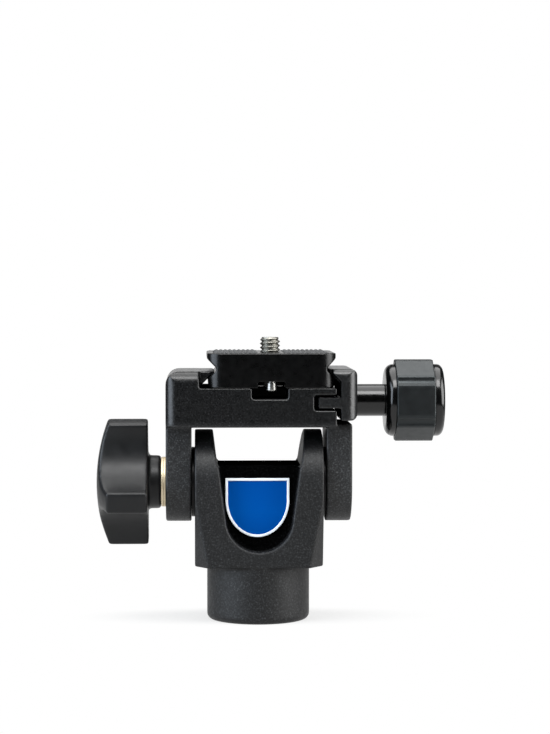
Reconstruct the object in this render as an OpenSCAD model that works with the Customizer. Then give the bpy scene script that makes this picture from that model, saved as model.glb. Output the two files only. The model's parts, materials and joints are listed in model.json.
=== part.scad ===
// Tilt head for a monopod: a cast fork on a round foot, a yoke that tilts on a
// cross axle, a lobed locking knob, and a screw clamp that holds a dovetail plate.
// X runs across the head, the badge faces -Y, Z is up. The origin is the centre of
// the foot's underside. All sizes are in millimetres.

/* [Foot and fork] */
// Diameter of the round foot
foot_d = 32.3; // [29:0.1:34]
// Height of the round foot, up to the shoulder
foot_h = 17.7; // [15:0.1:19]
// Fillet round the bottom edge of the foot
foot_fillet = 1.9; // [0.5:0.1:3]
// Width of the fork across its two ears
fork_w = 40; // [38:0.2:46]
// Depth of the fork from front to back, which is also the diameter of its ears
fork_depth = 33.2; // [31:0.2:36]
// Height of the tilt axis above the bottom
axis_h = 43.4; // [42:0.2:50]
// Corner cut at the shoulder, measured across the head
corner_cut_w = 4.2; // [2:0.1:6]
// Corner cut at the shoulder, measured from front to back
corner_cut_d = 5.9; // [2:0.1:7]
// Height at which the corner cut runs out
corner_cut_h = 21.5; // [10:0.5:24]
// Width of the gap between the ears at the saddle
saddle_w = 26; // [22:0.2:28]
// Height of the saddle above the tilt axis
saddle_h = 5.9; // [5.5:0.1:9]
// Widening of the gap on each side, from the saddle to the top of the ears
ear_draft = 1.3; // [0:0.1:2]

/* [Badge recess] */
// Radius of the round end of the recess
recess_r = 10.5; // [10.4:0.1:12]
// Height of the centre of the round end above the bottom
recess_h = 33; // [31:0.5:36]
// Depth of the recess in the front face and in the rear face
recess_depth = 6.5; // [3:0.1:8]
// Draft of the recess wall over its depth
recess_draft = 0.4; // [0:0.1:0.6]
// Sideways offset of the badge from the middle of the recess
badge_x = -0.5; // [-0.5:0.1:0.5]
// Radius of the round end of the badge
badge_r = 10; // [7:0.1:10.2]
// Height of the badge's round centre above the recess's round centre
badge_lift = 3.9; // [3.5:0.1:6]
// Straight length of the badge above its round end
badge_straight = 8.4; // [4:0.1:10]
// Thickness of the badge
badge_t = 0.8; // [0.4:0.1:1.5]
// Width of the raised border of the badge
badge_border = 0.8; // [0.5:0.1:2]
// Depth of the field inside the border
badge_field = 0.3; // [0.1:0.05:0.35]

/* [Foot thread] */
// Diameter of the threaded hole, 3/8 inch
foot_thread_d = 9.525; // [6.35:0.005:9.525]
// Outer diameter of the threaded bush
foot_bush_d = 14; // [12:0.1:16]
// Length of the threaded bush
foot_bush_len = 13; // [10:0.5:15]

/* [Tilt axle] */
// Diameter of the axle
axle_d = 8; // [6:0.1:8.5]
// Width across the flats of the axle head
axle_head_w = 13; // [11:0.1:14]
// Thickness of the axle head
axle_head_t = 5.3; // [3:0.1:6]
// Wall of the plain bushes in the fork
axle_bush_wall = 1; // [0.6:0.1:1.5]
// Length of each plain bush
axle_bush_len = 9; // [5:0.5:11]
// Diameter of the friction washers
washer_d = 22; // [16:0.5:24]
// Thickness of the friction washers
washer_t = 1; // [0.6:0.1:2]

/* [Yoke] */
// Thickness of each yoke arm
arm_t = 8; // [7:0.1:10]
// Radius of the round lower end of each arm
arm_r = 12.4; // [11:0.1:13.5]
// Gap between the ears and the underside of the platform
under_gap = 1.5; // [1:0.1:4]
// Thickness of the platform
platform_t = 12.1; // [11.8:0.1:15]
// Depth of the platform from front to back
platform_depth = 36; // [34:0.5:38]
// Rounding of the upper outer corner of the fixed jaw
platform_round = 4.2; // [1:0.1:5]
// Rounding of the upright corners at the outer end of the platform
platform_edge = 3.4; // [0.5:0.1:4]
// Rounding of the fixed jaw's upper edges at the front and at the back
fixed_top_round = 3.8; // [0.5:0.1:3.9]
// Height of the fixed jaw above the clamp floor
fixed_jaw_h = 5.2; // [5:0.1:5.6]
// Depth of the relief cut in the two ends of the fixed lip
lip_relief = 4; // [1:0.1:8]
// Width of the groove at each end of the clamp floor
groove_w = 11.2; // [8:0.1:11.4]
// Sideways offset of the groove from the plate's centre line
groove_shift = -0.5; // [-1:0.1:1]
// Depth of the groove in the clamp floor
groove_depth = 3.3; // [2:0.1:4]
// Length of the land left in the middle of the groove
land_len = 12; // [8:0.5:20]

/* [Dovetail plate] */
// Length of the plate from front to back
plate_len = 36; // [35:0.5:44]
// Width of the plate at its top flange
plate_w = 40; // [39:0.1:41]
// Thickness of the plate
plate_t = 10.8; // [10.4:0.1:12]
// Offset of the plate's centre from the foot's axis
plate_x = 3.75; // [3:0.05:4.5]
// Width of the dovetail at its widest
dovetail_w = 39.3; // [38.8:0.1:39.5]
// Height of the upright side below the dovetail's slope
dovetail_land = 2.85; // [2.75:0.05:3]
// Inward run of the 45 degree slope
dovetail_run = 2.55; // [2:0.05:2.6]
// Height of the narrow neck
neck_h = 0.85; // [0.6:0.05:1.6]
// Height of the upper slope
upper_slope_h = 2.9; // [2.4:0.1:3.2]
// Chamfer along the bottom edges
plate_chamfer = 0.8; // [0.2:0.1:1.2]
// Rounding of the upright corners
plate_corner_r = 4.8; // [1:0.1:5]
// Width of the groove along the plate's underside
plate_groove_w = 8.4; // [6:0.1:11]
// Depth of the groove along the plate's underside
plate_groove_depth = 2; // [1:0.1:2.4]
// Width of each rubber pad
pad_w = 13.6; // [8:0.1:13.8]
// Distance from the plate's end to each rubber pad
pad_end = 1.3; // [1.2:0.1:4]
// Distance from the plate's side to each rubber pad
pad_inset = 2.2; // [1.6:0.1:2.4]
// Thickness of each rubber pad below its ribs
pad_t = 1.2; // [0.8:0.1:1.6]
// Height of the ribs above the pad
rib_h = 0.3; // [0.2:0.05:0.6]
// Distance from rib to rib
rib_pitch = 1.45; // [1.2:0.05:3]
// Width of the flat top of each rib
rib_top_w = 0.45; // [0.2:0.05:0.9]
// Distance from the plate's end to each stop screw
stop_inset = 3; // [2.6:0.1:4]
// Diameter of the stop screws' heads
stop_d = 3.5; // [3:0.1:4]
// Length of the stop screws' heads
stop_len = 3; // [2.3:0.1:3.4]
// Diameter of the stop screws' shanks
stop_shank_d = 2.5; // [2:0.1:2.8]
// Length of the stop screws' shanks
stop_shank_len = 4; // [2:0.1:5]

/* [Camera screw] */
// Diameter of the camera screw, 1/4 inch
camera_d = 6.35; // [6.35:0.005:9.525]
// Height of the camera screw above the plate
camera_len = 4.6; // [4:0.1:6]
// Diameter of the camera screw's head
camera_head_d = 12.6; // [12:0.1:14]
// Thickness of the camera screw's head
camera_head_t = 4.2; // [2.5:0.1:4.4]
// Height of the head's seat above the plate's underside
camera_seat_h = 4.6; // [4.4:0.1:5.5]
// Width of the coin slot in the head
coin_slot_w = 1.6; // [1:0.1:2]
// Depth of the coin slot in the head
coin_slot_depth = 1.2; // [0.6:0.1:1.6]
// Diameter of the camera screw's plain neck inside the plate
camera_neck_d = 5.1; // [4.5:0.1:5.5]
// Chamfer at the tip of the camera screw
camera_chamfer = 0.5; // [0.2:0.1:0.8]
// Radial clearance round the camera screw's head
camera_head_gap = 0.4; // [0.2:0.1:0.8]

/* [Moving jaw] */
// Thickness of the moving jaw
jaw_t = 5.2; // [4:0.1:6]
// Height of the moving jaw above the clamp floor
jaw_h = 5.9; // [5.5:0.1:6]
// Depth of the moving jaw below the clamp floor
jaw_drop = 10.05; // [9:0.05:10.2]
// Gap between the dovetail and the moving jaw's upright wall
jaw_relief = 1.8; // [1.6:0.05:2.7]
// Gap between the dovetail and the fixed jaw's upright wall
fixed_relief = 2.7; // [2:0.05:2.75]
// Distance from each lip's tip to the plate's neck
lip_setback = 0.7; // [0.4:0.05:1.2]
// Gap between the moving jaw and the platform
jaw_gap = 1.3; // [0.5:0.1:2.2]
// Rounding of the moving jaw's outer edges
jaw_round = 2.2; // [0.5:0.1:3]
// Rounding of the moving jaw's upright outer edges
jaw_edge = 3.6; // [0.5:0.1:4]
// Rounding of the moving jaw's upper edges at the front and at the back
jaw_top_round = 2.4; // [0.5:0.1:3]
// Setback of the lip at the two ends of the moving jaw
jaw_end_relief = 1; // [0.2:0.1:1.5]
// Length of the set back lip at each end
jaw_end_len = 3; // [1:0.1:8]
// Thickness of the tongue that guides the moving jaw
tongue_t = 3.3; // [2.5:0.1:4]
// Length of the tongue
tongue_len = 7; // [5.5:0.1:8]
// Gap above and below the tongue
tongue_gap = 0.7; // [0.3:0.05:0.8]
// Gap between the moving jaw and the top of the right arm
jaw_under_gap = 1.2; // [0.5:0.1:1.4]

/* [Clamp knob] */
// Depth of the clamp screw's axis below the clamp floor
clamp_drop = 4.5; // [4.3:0.1:4.8]
// Diameter of the clamp screw
clamp_d = 5; // [4:0.1:5.2]
// Length of the threaded insert
insert_len = 6; // [4:0.1:6.5]
// Wall of the threaded insert
insert_wall = 1; // [0.8:0.1:1.2]
// Wire diameter of the return spring
spring_wire = 0.6; // [0.4:0.05:0.65]
// Number of curls in the return spring
spring_curls = 6; // [4:1:7]
// Diameter of the knob's neck
neck_d = 10.1; // [8:0.1:12]
// Length of the knob's neck
neck_len = 9.55; // [5:0.05:14]
// Radius of the knob's two flanges
flange_r = 11.4; // [10.6:0.1:11.7]
// Width of the inner flange
flange_w = 3.1; // [2.7:0.1:5]
// Rounding of the inner flange
flange_round = 2.6; // [1:0.1:2.7]
// Radius of the barrel inside the rubber grip
barrel_r = 9.5; // [8:0.1:10]
// Length of the rubber grip
grip_len = 12.1; // [9:0.1:16]
// Distance from the axis to the grip's flats
grip_flat_r = 11.9; // [11.8:0.1:13]
// Radius of the flutes between the grip's flats
flute_r = 2; // [1.6:0.1:2.2]
// Depth of the flutes below the flats' edges
flute_depth = 0.67; // [0.3:0.01:0.9]
// Thickness of the end cap
cap_t = 3.1; // [2.2:0.1:5]
// Rounding of the end cap
cap_round = 2; // [0.5:0.1:2.1]
// Radius of the end cap's spigot
spigot_r = 5; // [4:0.1:7]
// Length of the end cap's spigot
spigot_len = 5; // [2:0.1:5]

/* [Tilt knob] */
// Thickness of the bearing washer against the arm
bearing_t = 0.7; // [0.5:0.05:1.2]
// Thickness of the brass washer against the knob
brass_t = 0.75; // [0.5:0.05:1.2]
// Diameter of the brass washer
brass_d = 15.7; // [14:0.1:17]
// Diameter of the tilt knob's hub
hub_d = 16.8; // [15:0.1:20]
// Length of the tilt knob's hub
hub_len = 4.1; // [2:0.1:8]
// Radius of the tilt knob at its lobes
lobe_r = 20.3; // [18:0.1:23]
// Radius of the tilt knob in its hollows
hollow_r = 11; // [10:0.1:13]
// Radius of the curve of each hollow
hollow_curve_r = 15; // [13:0.1:20]
// Thickness of the tilt knob at its middle
lobe_t = 16.3; // [14.6:0.1:20]
// Height of the dome on the tilt knob's face
dome_h = 3.8; // [1:0.1:5]
// Turn of the lobes from upright
lobe_turn = 14.8; // [0:0.1:90]
// Wall of the threaded insert in the tilt knob
knob_insert_wall = 2; // [1:0.1:2.4]
// Length of the threaded insert in the tilt knob
knob_insert_len = 13; // [8:0.1:14]
// Distance from the end of the insert back to the end of the axle
axle_setback = 1; // [0.5:0.1:4]

/* [Fits] */
// Radial clearance of pieces that are pressed or screwed in
seat_gap = 0.02; // [0.01:0.005:0.04]
// Radial clearance of pieces that turn or slide on a shaft
run_gap = 0.06; // [0.02:0.01:0.1]
// Gap between flat faces that rub
face_gap = 0.05; // [0.02:0.01:0.1]

/* [Hidden] */
$fn = 96;
// Overrun that makes cuts pass clean through
over = 1;
// Thickness of the two slices that a drafted cut is drawn between
slice = 0.01;
// Sides of a hexagon, and half the angle that one side spans
hex_sides = 6;
hex_half = 180 / hex_sides;

ear_r = fork_depth / 2;
ear_x = fork_w / 2;
axle_r = axle_d / 2;
axle_bush_r = axle_r + axle_bush_wall;
axle_head_r = axle_head_w / 2 / cos(hex_half);
saddle_z = axis_h + saddle_h;
ear_top = axis_h + ear_r;
ear_gap_top = saddle_w / 2 + ear_draft;
recess_y = fork_depth / 2 - recess_depth;
badge_z = recess_h + badge_lift;

arm_in = ear_x + washer_t + face_gap;
arm_out = arm_in + arm_t;
platform_z = ear_top + under_gap;
floor_z = platform_z + platform_t;

plate_z = floor_z + face_gap;
plate_top = plate_z + plate_t;
pad_len = plate_len - 2 * pad_end;
slope_top = dovetail_land + dovetail_run;
flange_low = slope_top + neck_h + upper_slope_h;
plate_left = plate_x - dovetail_w / 2;
plate_right = plate_x + dovetail_w / 2;
// Height at which a lip's slope meets the widest line of the dovetail, a face gap off its 45 degree slope
slope_z = plate_z + dovetail_land + face_gap / cos(45);

clamp_z = floor_z - clamp_drop;
jaw_in = plate_right + jaw_relief;
jaw_out = jaw_in + jaw_t;
jaw_low = floor_z - jaw_drop;
platform_right = jaw_in - jaw_gap;
slot_x = platform_right - tongue_len;
slot_t = tongue_t + 2 * tongue_gap;
insert_r = clamp_d / 2 + run_gap + insert_wall;
insert_x = slot_x - insert_len;
spring_r = insert_r - seat_gap - spring_wire / 2 - run_gap;
spring_x0 = slot_x + face_gap;
spring_x1 = jaw_in - face_gap;

neck_x = jaw_out + face_gap;
flange_x = neck_x + neck_len;
grip_x = flange_x + flange_w;
cap_x = grip_x + grip_len;
screw_end = grip_x;

bearing_x = arm_out + face_gap;
brass_x = bearing_x + bearing_t;
hub_x = brass_x + brass_t;
lobe_x = hub_x + hub_len;
knob_insert_r = axle_r + run_gap + knob_insert_wall;
knob_insert_x = hub_x + face_gap;
axle_end = knob_insert_x + knob_insert_len - axle_setback;

// A solid of revolution or a cylinder turned to lie along +X from x
module along_x(x, z) {
    translate([x, 0, z])
        rotate([0, 90, 0])
            children();
}

// A cylinder along X between two places
module rod_x(x0, x1, r, z) {
    along_x(x0, z)
        cylinder(h = x1 - x0, r = r);
}

// A plane outline in X and Z, drawn out along Y and centred on it
module slab_y(depth) {
    translate([0, depth / 2, 0])
        rotate([90, 0, 0])
            linear_extrude(height = depth)
                children();
}

// The corner of a square less its inscribed quarter circle, for rounding a corner at the origin
module corner_waste(r) {
    difference() {
        translate([-over, -over])
            square(r + over);
        translate([r, r])
            circle(r = r);
    }
}

// Waste for rounding the upper front and back edges of a block that runs from x0 to x1
module top_edge_waste(x0, x1, z, r) {
    for (flip_y = [0, 1])
        mirror([0, flip_y, 0])
            translate([x0 - over, -platform_depth / 2, z])
                rotate([90, 0, 90])
                    linear_extrude(height = x1 - x0 + over)
                        mirror([0, 1])
                            corner_waste(r);
}

// Everything on the near side of a plane with the given cuts on three edges
module corner_plane(cut) {
    n = [1 / cut.x, 1 / cut.y, 1 / cut.z];
    side = 4 * max(cut);
    rotate([0, acos(n.z / norm(n)), atan2(n.y, n.x)])
        translate([-side / 2, -side / 2, 1 / norm(n) - side])
            cube(side);
}

// Tube of wire along a helix on +Z
module helix(r, wire_r, length, curls) {
    rings = 8;
    sides = 6;
    steps = curls * rings;
    mid = [for (i = [0:steps]) [r * cos(i * 360 / rings), r * sin(i * 360 / rings), length * i / steps]];
    points = [
        for (i = [0:steps])
            for (s = [0:sides - 1])
                let (turn = i * 360 / rings, lean = s * 360 / sides)
                    [
                        (r + wire_r * cos(lean)) * cos(turn),
                        (r + wire_r * cos(lean)) * sin(turn),
                        length * i / steps + wire_r * sin(lean),
                    ],
    ];
    walls = [
        for (i = [0:steps - 1])
            for (s = [0:sides - 1])
                let (a = i * sides + s, b = i * sides + (s + 1) % sides)
                    each [[a, a + sides, b], [b, a + sides, b + sides]],
    ];
    caps = [
        for (s = [1:sides - 2])
            each [[0, s, s + 1], [steps * sides, steps * sides + s + 1, steps * sides + s]],
    ];
    least_gap = min([for (i = [0:steps - rings]) norm(mid[i + rings] - mid[i])]) - 2 * wire_r;
    echo(least_gap = least_gap);
    polyhedron(points = points, faces = concat(walls, caps));
}

// The round foot with its bottom fillet
module foot() {
    rotate_extrude()
        difference() {
            square([foot_d / 2, foot_h + over]);
            translate([foot_d / 2, 0])
                mirror([1, 0])
                    corner_waste(foot_fillet);
        }
}

// The side outline of the fork, upright to the axis and round above it
module fork_block() {
    rotate([90, 0, 90])
        translate([0, 0, -ear_x])
            linear_extrude(height = fork_w)
                union() {
                    translate([-ear_r, foot_h])
                        square([fork_depth, axis_h - foot_h]);
                    translate([0, axis_h])
                        circle(r = ear_r);
                }
}

// One drafted recess, open at the top, cut from the face at -Y
module badge_recess() {
    top = ear_top + over;
    hull()
        for (level = [[-ear_r - over, 0], [-recess_y, recess_draft]])
            translate([0, level[0], 0])
                rotate([90, 0, 0])
                    linear_extrude(height = slice) {
                        translate([0, recess_h])
                            circle(r = recess_r - level[1], $fn = 32);
                        translate([-ear_gap_top + level[1], top])
                            square([2 * (ear_gap_top - level[1]), slice]);
                    }
}

// The gap between the ears, above the saddle
module saddle_gap() {
    low = saddle_w / 2;
    rise = ear_top - saddle_z;
    high = low + ear_draft * (rise + over) / rise;
    slab_y(fork_depth + 2 * over)
        polygon([[-low, saddle_z], [low, saddle_z], [high, ear_top + over], [-high, ear_top + over]]);
}

module fork_base() {
    color("#26272a")
        difference() {
            union() {
                foot();
                fork_block();
            }
            for (flip_x = [0, 1])
                for (flip_y = [0, 1])
                    mirror([flip_x, 0, 0])
                        mirror([0, flip_y, 0])
                            translate([-ear_x, -ear_r, foot_h])
                                corner_plane([corner_cut_w, corner_cut_d, corner_cut_h]);
            for (flip_y = [0, 1])
                mirror([0, flip_y, 0])
                    badge_recess();
            saddle_gap();
            rod_x(-ear_x - over, ear_x + over, axle_bush_r - axle_bush_wall / 2, axis_h);
            rod_x(-ear_x - over, -ear_x + axle_bush_len, axle_bush_r + seat_gap, axis_h);
            rod_x(ear_x - axle_bush_len, ear_x + over, axle_bush_r + seat_gap, axis_h);
            translate([0, 0, -over])
                cylinder(h = foot_bush_len + over, r = foot_bush_d / 2 + seat_gap);
        }
}

module foot_bush() {
    color("#b5a06a")
        difference() {
            cylinder(h = foot_bush_len, r = foot_bush_d / 2);
            translate([0, 0, -over])
                cylinder(h = foot_bush_len + 2 * over, r = foot_thread_d / 2);
        }
}

// Badge outline: straight sides over a round lower end
module badge_outline(inset) {
    r = badge_r - inset;
    top = badge_straight - inset;
    difference() {
        union() {
            circle(r = r);
            translate([-r, 0])
                square([2 * r, top]);
        }
        translate([-r - over, top])
            square(2 * (r + over));
    }
}

module badge() {
    color("#1f57a5")
        translate([badge_x, -recess_y, badge_z])
            rotate([90, 0, 0])
                difference() {
                    linear_extrude(height = badge_t)
                        badge_outline(0);
                    translate([0, 0, badge_t - badge_field])
                        linear_extrude(height = badge_t)
                            badge_outline(badge_border);
                }
}

// One plain bush, seated flush with the left ear
module axle_bush() {
    color("#c9a763")
        difference() {
            rod_x(-ear_x, -ear_x + axle_bush_len, axle_bush_r, axis_h);
            rod_x(-ear_x - over, ear_x, axle_r + run_gap, axis_h);
        }
}

module axle_bush_left() {
    axle_bush();
}

module axle_bush_right() {
    mirror([1, 0, 0])
        axle_bush();
}

// One friction washer, lying against the left ear
module friction_washer() {
    color("#141414")
        difference() {
            rod_x(-ear_x - washer_t, -ear_x, washer_d / 2, axis_h);
            rod_x(-ear_x - washer_t - over, -ear_x + over, axle_r + run_gap, axis_h);
        }
}

module friction_washer_left() {
    friction_washer();
}

module friction_washer_right() {
    mirror([1, 0, 0])
        friction_washer();
}

// One arm, from its round lower end up to the given height
module yoke_arm(x0, x1, top) {
    rod_x(x0, x1, arm_r, axis_h);
    translate([x0, -arm_r, axis_h])
        cube([x1 - x0, 2 * arm_r, top - axis_h]);
}

// Outline of the platform in X and Z, with the fixed jaw and the slot for the tongue
module platform_outline() {
    wall_x = plate_left - fixed_relief;
    jaw_top = floor_z + fixed_jaw_h;
    tip_x = plate_left + dovetail_run - lip_setback;
    tip_z = slope_z + tip_x - plate_left;
    difference() {
        polygon([
            [-arm_out, platform_z],
            [-arm_out, jaw_top],
            [tip_x, jaw_top],
            [tip_x, tip_z],
            [wall_x, slope_z - fixed_relief],
            [wall_x, floor_z],
            [platform_right, floor_z],
            [platform_right, platform_z],
        ]);
        translate([-arm_out, jaw_top])
            mirror([0, 1])
                corner_waste(platform_round);
        translate([slot_x, clamp_z - slot_t / 2])
            square([tongue_len + over, slot_t]);
    }
}

module yoke() {
    wall_x = plate_left - fixed_relief;
    half = platform_depth / 2;
    color("#2b2c2f")
        difference() {
            union() {
                slab_y(platform_depth)
                    platform_outline();
                yoke_arm(-arm_out, -arm_in, platform_z + over);
                yoke_arm(arm_in, arm_out, jaw_low - jaw_under_gap);
            }
            for (flip_y = [0, 1])
                mirror([0, flip_y, 0]) {
                    translate([-arm_out, -half, platform_z])
                        linear_extrude(height = floor_z + jaw_h)
                            corner_waste(platform_edge);
                    translate([wall_x, -half - over, floor_z])
                        cube([fixed_relief + dovetail_run, lip_relief + over, fixed_jaw_h + over]);
                    translate([plate_x + groove_shift - groove_w / 2, -half - over, floor_z - groove_depth])
                        cube([groove_w, half - land_len / 2 + over, groove_depth + over]);
                }
            top_edge_waste(-arm_out, plate_left + dovetail_run, floor_z + fixed_jaw_h, fixed_top_round);
            rod_x(insert_x, platform_right + over, insert_r + seat_gap, clamp_z);
            rod_x(-arm_out - over, arm_out + over, axle_r + seat_gap, axis_h);
            along_x(arm_out - axle_head_t, axis_h)
                cylinder(h = axle_head_t + over, r = axle_head_r + seat_gap, $fn = hex_sides);
        }
}

module tilt_axle() {
    color("#9a9da1") {
        rod_x(-axle_end, arm_out - axle_head_t + over, axle_r, axis_h);
        along_x(arm_out - axle_head_t, axis_h)
            cylinder(h = axle_head_t, r = axle_head_r, $fn = hex_sides);
    }
}

module clamp_insert() {
    color("#c2a05a")
        difference() {
            rod_x(insert_x, slot_x, insert_r, clamp_z);
            rod_x(insert_x - over, slot_x + over, clamp_d / 2 + run_gap, clamp_z);
        }
}

module return_spring() {
    wire_r = spring_wire / 2;
    color("#8d9094")
        along_x(spring_x0 + wire_r, clamp_z)
            helix(spring_r, wire_r, spring_x1 - spring_x0 - spring_wire, spring_curls);
}

// Outline of the moving jaw in X and Z, with its lip set back by the given distance
module jaw_outline(setback) {
    jaw_top = floor_z + jaw_h;
    tip_x = plate_right - dovetail_run + lip_setback + setback;
    tip_z = slope_z + dovetail_run - lip_setback;
    difference() {
        polygon([
            [jaw_in, jaw_low],
            [jaw_in, slope_z - jaw_relief + setback],
            [tip_x, tip_z],
            [tip_x, jaw_top],
            [jaw_out, jaw_top],
            [jaw_out, jaw_low],
        ]);
        translate([jaw_out, jaw_top])
            mirror([1, 0])
                mirror([0, 1])
                    corner_waste(jaw_round);
        translate([jaw_out, jaw_low])
            mirror([1, 0])
                corner_waste(jaw_round);
    }
}

module moving_jaw() {
    half = platform_depth / 2;
    screw_gap = insert_r + tongue_gap;
    color("#2b2c2f")
        difference() {
            union() {
                slab_y(platform_depth)
                    jaw_outline(jaw_end_relief);
                slab_y(platform_depth - 2 * jaw_end_len)
                    jaw_outline(0);
                for (flip_y = [0, 1])
                    mirror([0, flip_y, 0])
                        translate([jaw_in - tongue_len, -half, clamp_z - tongue_t / 2])
                            cube([tongue_len + jaw_t / 2, half - screw_gap, tongue_t]);
            }
            top_edge_waste(plate_right - dovetail_run, jaw_out + over, floor_z + jaw_h, jaw_top_round);
            rod_x(jaw_in - over, jaw_out + over, clamp_d / 2 + run_gap, clamp_z);
            for (flip_y = [0, 1])
                mirror([0, flip_y, 0])
                    translate([jaw_out, -half, jaw_low - over])
                        mirror([1, 0, 0])
                            linear_extrude(height = jaw_drop + jaw_h + 2 * over)
                                corner_waste(jaw_edge);
        }
}

module clamp_screw() {
    color("#a6a8aa")
        rod_x(insert_x + face_gap, screw_end, clamp_d / 2, clamp_z);
}

module knob_core() {
    flange_z = flange_x - neck_x;
    barrel_z = grip_x - neck_x;
    color("#17181a")
        difference() {
            along_x(neck_x, clamp_z)
                rotate_extrude()
                    union() {
                        square([neck_d / 2, barrel_z]);
                        translate([0, flange_z])
                            difference() {
                                square([flange_r, flange_w]);
                                translate([flange_r, 0])
                                    mirror([1, 0])
                                        corner_waste(flange_round);
                            }
                        translate([0, barrel_z - over])
                            square([barrel_r, grip_len + over]);
                    }
            rod_x(neck_x - over, screw_end, clamp_d / 2 + seat_gap, clamp_z);
            rod_x(cap_x - spigot_len - face_gap, cap_x + over, spigot_r + seat_gap, clamp_z);
        }
}

// Six flats with a round flute at each corner
module grip_outline() {
    corner_r = grip_flat_r / cos(hex_half);
    half_chord = sqrt(flute_r ^ 2 - (flute_r - flute_depth) ^ 2);
    flat_half = grip_flat_r * tan(hex_half) - half_chord;
    edge_r = grip_flat_r * cos(hex_half) + flat_half * sin(hex_half);
    difference() {
        circle(r = corner_r, $fn = hex_sides);
        for (i = [0:hex_sides - 1])
            rotate(i * 360 / hex_sides)
                translate([edge_r + flute_r - flute_depth, 0])
                    circle(r = flute_r);
        circle(r = barrel_r + seat_gap);
    }
}

module knob_grip() {
    color("#3a3b3d")
        along_x(grip_x, clamp_z)
            linear_extrude(height = grip_len)
                grip_outline();
}

module knob_cap() {
    color("#17181a")
        along_x(cap_x, clamp_z)
            rotate_extrude()
                union() {
                    difference() {
                        square([flange_r, cap_t]);
                        translate([flange_r, cap_t])
                            mirror([1, 0])
                                mirror([0, 1])
                                    corner_waste(cap_round);
                    }
                    translate([0, -spigot_len])
                        square([spigot_r, spigot_len + cap_t / 2]);
                }
}

// Cross section of the dovetail plate, from its centre line and underside
module plate_section() {
    half = dovetail_w / 2;
    neck = half - dovetail_run;
    top = plate_w / 2;
    right = [
        [half - plate_chamfer, 0],
        [half, plate_chamfer],
        [half, dovetail_land],
        [neck, slope_top],
        [neck, slope_top + neck_h],
        [top, flange_low],
        [top, plate_t],
    ];
    left = [for (i = [len(right) - 1:-1:0]) [-right[i].x, right[i].y]];
    polygon(concat(right, left));
}

// Plan of the plate, with its rounded upright corners
module plate_plan() {
    difference() {
        square([plate_w, plate_len], center = true);
        for (flip_x = [0, 1])
            for (flip_y = [0, 1])
                mirror([flip_x, 0])
                    mirror([0, flip_y])
                        translate([-plate_w / 2, -plate_len / 2])
                            corner_waste(plate_corner_r);
    }
}

// Distance from the plate's centre to the middle of each pad
function pad_offset() = plate_w / 2 - pad_w / 2 - pad_inset;

module dovetail_plate() {
    color("#1d1e20")
        translate([plate_x, 0, plate_z])
            difference() {
                intersection() {
                    slab_y(plate_len)
                        plate_section();
                    linear_extrude(height = plate_t)
                        plate_plan();
                }
                translate([-plate_groove_w / 2, -plate_len / 2 - over, -over])
                    cube([plate_groove_w, plate_len + 2 * over, plate_groove_depth + over]);
                translate([0, 0, -over])
                    cylinder(h = camera_seat_h + over, r = camera_head_d / 2 + camera_head_gap);
                cylinder(h = plate_t + over, r = camera_neck_d / 2 + run_gap);
                for (side = [-1, 1]) {
                    translate([side * pad_offset(), 0, plate_t - pad_t])
                        linear_extrude(height = pad_t + over)
                            square([pad_w + 2 * seat_gap, pad_len + 2 * seat_gap], center = true);
                    translate([0, side * (plate_len / 2 - stop_inset), 0])
                        cylinder(h = plate_groove_depth + stop_shank_len, r = stop_shank_d / 2 + seat_gap);
                }
            }
}

// One ribbed rubber pad, centred on the given place across the plate
module pad(x) {
    count = floor(pad_w / rib_pitch);
    color("#303133")
        translate([plate_x + x, 0, plate_top - pad_t]) {
            translate([-pad_w / 2, -pad_len / 2, 0])
                cube([pad_w, pad_len, pad_t]);
            for (i = [0:count - 1])
                translate([(i - (count - 1) / 2) * rib_pitch, 0, pad_t])
                    slab_y(pad_len)
                        polygon([
                            [-rib_pitch / 2, -rib_h / 2],
                            [rib_pitch / 2, -rib_h / 2],
                            [rib_pitch / 2, 0],
                            [rib_top_w / 2, rib_h],
                            [-rib_top_w / 2, rib_h],
                            [-rib_pitch / 2, 0],
                        ]);
        }
}

module pad_left() {
    pad(-pad_offset());
}

module pad_right() {
    pad(pad_offset());
}

module stop_screws() {
    top = plate_z + plate_groove_depth;
    color("#c4c6c8")
        for (side = [-1, 1])
            translate([plate_x, side * (plate_len / 2 - stop_inset), top]) {
                translate([0, 0, -stop_len])
                    cylinder(h = stop_len, r = stop_d / 2);
                translate([0, 0, -stop_len / 2])
                    cylinder(h = stop_len / 2 + stop_shank_len, r = stop_shank_d / 2);
            }
}

module camera_screw() {
    seat = plate_z + camera_seat_h - face_gap;
    thread_z = plate_top + face_gap;
    tip = plate_top + camera_len;
    color("#b9bbbd")
        translate([plate_x, 0, 0])
            difference() {
                union() {
                    translate([0, 0, seat - camera_head_t])
                        cylinder(h = camera_head_t, r = camera_head_d / 2);
                    translate([0, 0, seat - camera_head_t / 2])
                        cylinder(h = thread_z - seat + camera_head_t, r = camera_neck_d / 2);
                    translate([0, 0, thread_z])
                        cylinder(h = tip - camera_chamfer - thread_z, r = camera_d / 2);
                    translate([0, 0, tip - camera_chamfer])
                        cylinder(h = camera_chamfer, r1 = camera_d / 2, r2 = camera_d / 2 - camera_chamfer);
                }
                translate([-camera_head_d, -coin_slot_w / 2, seat - camera_head_t - over])
                    cube([2 * camera_head_d, coin_slot_w, coin_slot_depth + over]);
            }
}

// One washer of the tilt knob, between two distances from the middle of the head
module knob_washer(x, t) {
    difference() {
        rod_x(-x - t, -x, brass_d / 2, axis_h);
        rod_x(-x - t - over, -x + over, axle_r + run_gap, axis_h);
    }
}

module bearing_washer() {
    color("#d9c58f")
        knob_washer(bearing_x, bearing_t);
}

module brass_washer() {
    color("#cdb06a")
        knob_washer(brass_x, brass_t);
}

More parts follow.
